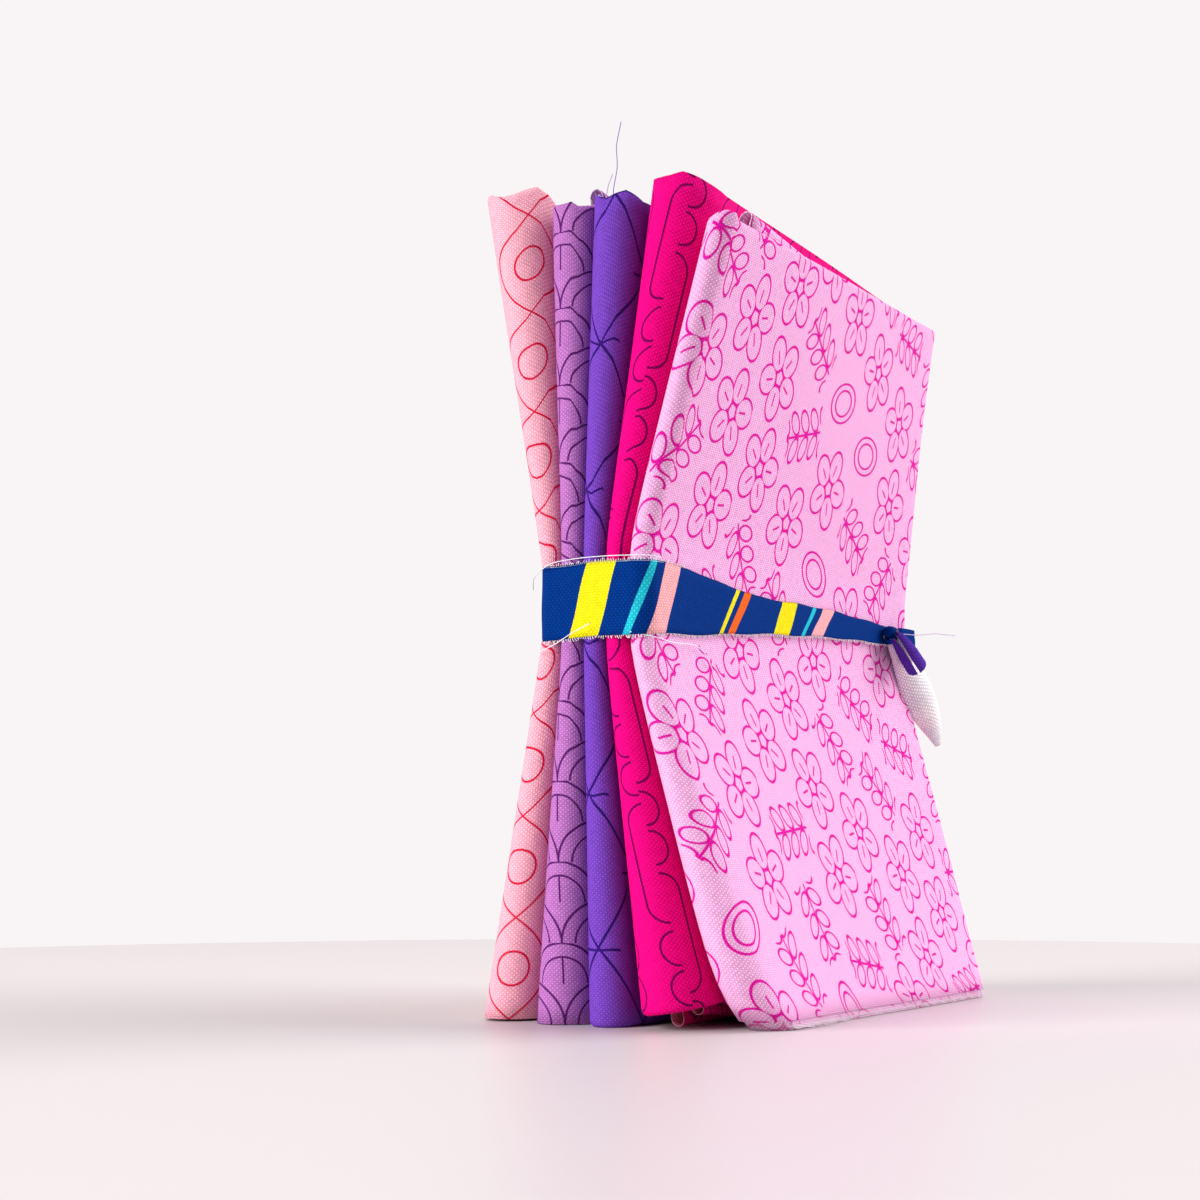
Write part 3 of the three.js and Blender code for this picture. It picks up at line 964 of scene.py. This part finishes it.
def bend(centre, start, end, radius=TIE_BEND, count=8):
    """Points on an arc between two angles in degrees, without the last."""
    angles = np.radians(np.linspace(start, end, count + 1))[:-1]
    return [(centre[0] + radius * math.cos(a), centre[1] + radius * math.sin(a)) for a in angles]


# Way of the strip, seen from above: along the front to the spines, round them, along the back and round
# the far edges to the knot
tie_route = np.array(
    straight((49.0, TIE_FRONT_Y), (-58.6, TIE_FRONT_Y))
    + bend((-58.6, TIE_FRONT_Y + TIE_BEND), 270, 180)
    + straight((-61.8, TIE_FRONT_Y + TIE_BEND), (-58.9, 8.6), 1.5)
    + bend((-55.7, 8.6), 180, 90)
    + straight((-55.7, 11.8), (50.2, 12.9))
    + bend((50.2, 9.7), 90, 0)
    + straight((53.4, 9.7), (53.4, -10.8), 1.5)
    + bend((50.2, -10.8), 360, 270)
    + straight((50.2, -14.0), (40.6, -13.9))
)


def band_points(route):
    """Points of the strip round the waist: its front from the lower to the upper edge, then the part
    folded down behind."""
    along = np.gradient(route, axis=0)
    along /= np.linalg.norm(along, axis=1, keepdims=True)
    outward = np.stack([-along[:, 1], along[:, 0]], axis=1)
    run = np.concatenate([[0], np.cumsum(np.linalg.norm(np.diff(route, axis=0), axis=1))])
    back = np.clip((route[:, 1] - TIE_FRONT_Y) / TIE_DEPTH, 0, 1)
    x = route[:, 0]
    low = mix(np.interp(x, TIE_FRONT_X, TIE_FRONT_LOW), np.interp(x, TIE_BACK_X, TIE_BACK_LOW), back)
    high = mix(np.interp(x, TIE_FRONT_X, TIE_FRONT_HIGH), np.interp(x, TIE_BACK_X, TIE_BACK_HIGH), back)
    low = low + EDGE_WAVE * np.sin(run / 3.1)
    high = high + EDGE_WAVE * np.sin(run / 2.7 + 1)
    folded = np.clip(TIE_WIDTH - (high - low), LEAST_FOLD, (high - low) * MOST_FOLD)
    lift = np.clip(folded / LIFTING_FOLD, 0, 1) * FULL_LIFT
    columns = []
    for share in np.linspace(0, 1, STRIP_COLUMNS):
        buckle = BUCKLE * np.sin(run / 4.3 + 5 * share) * math.sin(math.pi * share)
        columns.append((lift + buckle, mix(low, high, share)))
    for share in np.linspace(0, 1, FOLD_COLUMNS)[1:]:
        columns.append((lift * (1 - min(1, share * 4)), high - folded * share))
    lines = [np.column_stack([route + outward * out[:, None], z]) for out, z in columns]
    return np.stack(lines, axis=1)


LEAST_CURL = 0.05


def ribbon_points(places, widths, curl, normal, count=24):
    """Points of a curled ribbon along a smooth curve through places, with its middle facing a direction."""
    places = np.array(places, float)
    knots = np.linspace(0, 1, len(places))
    steps = np.linspace(0, 1, count)
    slopes = np.gradient(places, knots, axis=0)
    path = np.empty((count, 3))
    for k, s in enumerate(steps):
        i = min(int(s * (len(places) - 1)), len(places) - 2)
        h = knots[i + 1] - knots[i]
        a = (s - knots[i]) / h
        path[k] = (
            (2 * a**3 - 3 * a**2 + 1) * places[i] + (a**3 - 2 * a**2 + a) * h * slopes[i]
            + (3 * a**2 - 2 * a**3) * places[i + 1] + (a**3 - a**2) * h * slopes[i + 1]
        )
    along = np.gradient(path, axis=0)
    along /= np.linalg.norm(along, axis=1, keepdims=True)
    side = np.cross(along, np.array(normal, float))
    side /= np.linalg.norm(side, axis=1, keepdims=True)
    out = np.cross(side, along)
    width = np.interp(steps, knots, widths)
    curls = np.interp(steps, np.linspace(0, 1, len(curl)), curl)
    columns = []
    for share in np.linspace(-1, 1, STRIP_COLUMNS):
        angle = share * curls
        radius = width / 2 / np.maximum(curls, LEAST_CURL)
        aside = radius * np.sin(angle)
        inward = radius * (1 - np.cos(angle))
        columns.append(path + side * aside[:, None] - out * inward[:, None])
    return np.stack(columns, axis=1)


KNOT_CURL = 1.3
KNOT_COLUMNS = 9


def knot_points(centre, scale, width, count=96):
    """Points of the strip drawn up in the knot: a curled ribbon on a three-lobed path through itself."""
    t = np.linspace(0, 2 * math.pi, count)
    lobes = np.sin(t) + 2 * np.sin(2 * t), -np.sin(3 * t), np.cos(t) - 2 * np.cos(2 * t)
    path = np.array(centre) + np.stack(lobes, axis=1) * np.array(scale)
    along = np.gradient(path, axis=0)
    along /= np.linalg.norm(along, axis=1, keepdims=True)
    out = path - np.array(centre)
    out -= along * np.sum(out * along, axis=1, keepdims=True)
    out /= np.linalg.norm(out, axis=1, keepdims=True)
    side = np.cross(along, out)
    columns = []
    for share in np.linspace(-1, 1, KNOT_COLUMNS):
        angle = KNOT_CURL * share
        columns.append(path + side * width / 2 * math.sin(angle) - out * width / 2 * (1 - math.cos(angle)))
    return np.stack(columns, axis=1)


COBALT = (0.0005, 0.030, 0.20)
PINK = (0.90, 0.40, 0.42)
TURQUOISE = (0.02, 0.50, 0.62)
YELLOW = (0.84, 0.72, 0.010)
ORANGE = (0.82, 0.13, 0.015)
DEEP_VIOLET = (0.085, 0.028, 0.33)
BAND_REPEAT = 64.0
# Places along the strip, in mm: the part round the waist that has every band, and the starts of the knot
# and of the two ends; the violet part is given by its middle and its length
WAIST_FROM = 24.0
WAIST_TO = 236.0
KNOT_START = 274.0
SHORT_END_START = 304.0
LONG_END_START = 340.0
VIOLET_MIDDLE = 313.0
VIOLET_LENGTH = 24.0


def tie_print_group():
    """Cobalt cotton with slanting bands of pink, turquoise, yellow and orange, violet at one end."""
    group = bpy.data.node_groups.new("tie_print", "ShaderNodeTree")
    group.interface.new_socket("Colour", in_out="OUTPUT", socket_type="NodeSocketColor")
    out = group.nodes.new("NodeGroupOutput")
    u, v = flat_measures(group)
    place = u.repeat(BAND_REPEAT)
    slant = v - TIE_WIDTH / 2
    round_waist = (u * -1.0 + WAIST_FROM).fill() * (u - WAIST_TO).fill()
    bands = (
        (PINK, (place + 24.0 + slant * 0.55).line(5.4)),
        (TURQUOISE, (place + 17.5 + slant * 0.55).line(1.6)),
        (YELLOW, (place + 7.0 + slant * 0.40).line(6.6) * round_waist),
        (ORANGE, (place - 12.0 + slant * 0.70).line(2.8) * round_waist),
        (YELLOW, (place - 16.0 + slant * 0.70).line(1.4) * round_waist),
        (DEEP_VIOLET, (u - VIOLET_MIDDLE).line(VIOLET_LENGTH)),
    )
    colour = None
    for tone, mask in bands:
        layer = group.nodes.new("ShaderNodeMix")
        layer.data_type = "RGBA"
        layer.inputs["A"].default_value = (*COBALT, 1)
        layer.inputs["B"].default_value = (*tone, 1)
        group.links.new(mask.socket, layer.inputs["Factor"])
        if colour:
            group.links.new(colour, layer.inputs["A"])
        colour = layer.outputs["Result"]
    group.links.new(colour, out.inputs["Colour"])
    return group


def joined_mesh(name, grids):
    """One mesh of several grids, each with its outward side and the place on the strip where it starts."""
    pieces = []
    for points, outward, start in grids:
        part = grid_mesh(name, points + (*SHIFT, 0), outward, start)
        pieces.append(bpy.data.objects.new(part.name, part))
        scene.collection.objects.link(pieces[-1])
    with bpy.context.temp_override(
        active_object=pieces[0], selected_objects=pieces, selected_editable_objects=pieces
    ):
        bpy.ops.object.join()
    mesh = pieces[0].data
    bpy.data.objects.remove(pieces[0])
    mesh.name = name
    return mesh


short_end = ribbon_points(
    [(38.0, -14.9, 74.6), (39.6, -15.6, 73.4), (42.0, -16.1, 71.6), (45.2, -16.5, 69.2)],
    widths=(6.0, 10.0, 12.6, 13.0),
    curl=(2.8, 3.02, 3.06, 3.0),
    normal=(0.85, 0.40, 0.30),
)
long_end = ribbon_points(
    [
        (39.6, -14.8, 73.2),
        (45.0, -15.2, 69.4),
        (50.0, -15.8, 64.6),
        (53.4, -16.2, 60.2),
        (55.8, -16.5, 56.2),
        (57.4, -16.8, 52.0),
    ],
    widths=(4.0, 7.0, 9.6, 9.2, 6.0, 1.4),
    curl=(1.5, 1.3, 1.0, 0.9, 0.8, 0.6),
    normal=(-0.62, -0.75, 0.2),
)
knot = knot_points(centre=(38.2, -14.4, 74.3), scale=(0.66, 0.85, 0.64), width=2.5)
band = band_points(tie_route)
tie_grids = [
    (band, 1, 0.0),
    (knot, 1, KNOT_START),
    (short_end, 1, SHORT_END_START),
    (long_end, -1, LONG_END_START),
]
tie_mesh = joined_mesh("tie", tie_grids)
TIE_YARN = (0.93, 0.93, 0.96)
TIE_WRONG_SIDE_PALE = 0.92
LOWER_EDGE = 0  # columns of the strip's two raw edges where it isn't folded
UPPER_EDGE = STRIP_COLUMNS - 1
FOLD_FROM_X = -47
FOLD_TO_Y = 8
unfolded = np.flatnonzero((tie_route[:, 0] < FOLD_FROM_X) | (tie_route[:, 1] > FOLD_TO_Y))
tie_frays = [
    frayed_edge(
        name,
        edge + (*SHIFT, 0),
        TIE_YARN,
        "tie_cotton",
        Spacing=0.50 * MM,
        Length=length * MM,
        Tilt=0.0,
        Lean=0.6,
        Turn=math.pi,
        Seed=seed,
    )
    for name, edge, length, seed in (
        ("tie_lower_fray", band[:, LOWER_EDGE], -0.6, 11),
        ("tie_upper_fray", band[unfolded, UPPER_EDGE], 0.6, 12),
    )
]
cotton_sheet(
    "tie",
    tie_mesh,
    tie_print_group(),
    node="tie_strip",
    wrong_side_pale=TIE_WRONG_SIDE_PALE,
)

# The loose threads
# Single ends of cotton yarn that have worked out of the raw edges of the cloths and of the tie. The weave
# holds each at one end, and the rest of it lies or stands free.
SMOOTHINGS = 6
OFF_THREAD = (0.3, 0.9, 0.2)  # a direction that no thread takes


def thread_points(places, count=40):
    """A smooth line of points through places."""
    places = np.array(places, float)
    knots = np.linspace(0, 1, len(places))
    steps = np.linspace(0, 1, count)
    smooth = np.stack([np.interp(steps, knots, places[:, k]) for k in range(3)], axis=1)
    for _ in range(SMOOTHINGS):
        smooth[1:-1] = (smooth[:-2] + 2 * smooth[1:-1] + smooth[2:]) / 4
    return smooth


def loose_thread(name, places, colour, radius=0.09, sides=6):
    """A round yarn through places in mm, closed at both ends."""
    path = thread_points(places) + (*SHIFT, 0)
    along = np.gradient(path, axis=0)
    along /= np.linalg.norm(along, axis=1, keepdims=True)
    aside = np.cross(along, OFF_THREAD)
    aside /= np.linalg.norm(aside, axis=1, keepdims=True)
    ahead = np.cross(along, aside)
    rows = len(path)
    rings = []
    for k in range(sides):
        a = 2 * math.pi * k / sides
        rings.append(path + (aside * math.cos(a) + ahead * math.sin(a)) * radius)
    points = np.stack(rings, axis=1).reshape(-1, 3) * MM
    faces = []
    for i in range(rows - 1):
        for k in range(sides):
            n = (k + 1) % sides
            faces.append((i * sides + k, i * sides + n, (i + 1) * sides + n, (i + 1) * sides + k))
    faces.append(tuple(reversed(range(sides))))
    faces.append(tuple((rows - 1) * sides + k for k in range(sides)))
    mesh = bpy.data.meshes.new(name)
    mesh.from_pydata(points.tolist(), [], faces)
    mesh.polygons.foreach_set("use_smooth", np.ones(len(faces), bool))
    mesh.materials.append(yarn_material(name, colour))
    piece = bpy.data.objects.new(name, mesh)
    scene.collection.objects.link(piece)
    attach(piece, "root")


loose_thread(
    "thread_on_violet",
    [
        (-52, -0.6, 143.0),
        (-54.0, -1.1, 147.7),
        (-54.2, -2.2, 152),
        (-54.2, -1.9, 156),
        (-54.0, -2.8, 160.3),
    ],
    colour=(0.30, 0.16, 0.55),
)
loose_thread(
    "thread_on_lavender",
    [(-50, 3.6, 143.2), (-52, 1.6, 146.8), (-53, 0.4, 149.4), (-53.2, -0.6, 151.2)],
    colour=(0.62, 0.50, 0.70),
)
loose_thread(
    "thread_above_tie",
    [
        (-54, 15.4, 76.8),
        (-57.5, 13.4, 78.6),
        (-60.6, 8.0, 80.6),
        (-61.6, 1.0, 81.0),
        (-62.6, -6.0, 80.9),
        (-61.6, -12.6, 80.7),
        (-58.6, -13.4, 80.5),
    ],
    colour=(0.80, 0.80, 0.88),
)
loose_thread(
    "thread_below_tie",
    [(-58.8, 11.4, 65.0), (-60.8, 7.0, 66.0), (-61.6, 3.0, 67.8), (-62.0, -1.0, 69.4)],
    colour=(0.86, 0.82, 0.88),
)
loose_thread(
    "thread_on_front",
    [
        (-62.0, -9.0, 67.6),
        (-60.0, -13.2, 66.6),
        (-54, -13.4, 66.0),
        (-46, -13.2, 66.4),
        (-42.0, -13.2, 65.0),
        (-39.6, -13.6, 61.6),
    ],
    colour=(0.80, 0.86, 0.92),
)
loose_thread(
    "thread_at_knot",
    [(42.0, -15.6, 74.6), (46, -17.0, 74.6), (53.0, -18.4, 75.4), (60.0, -20.0, 75.4)],
    colour=(0.62, 0.50, 0.72),
)
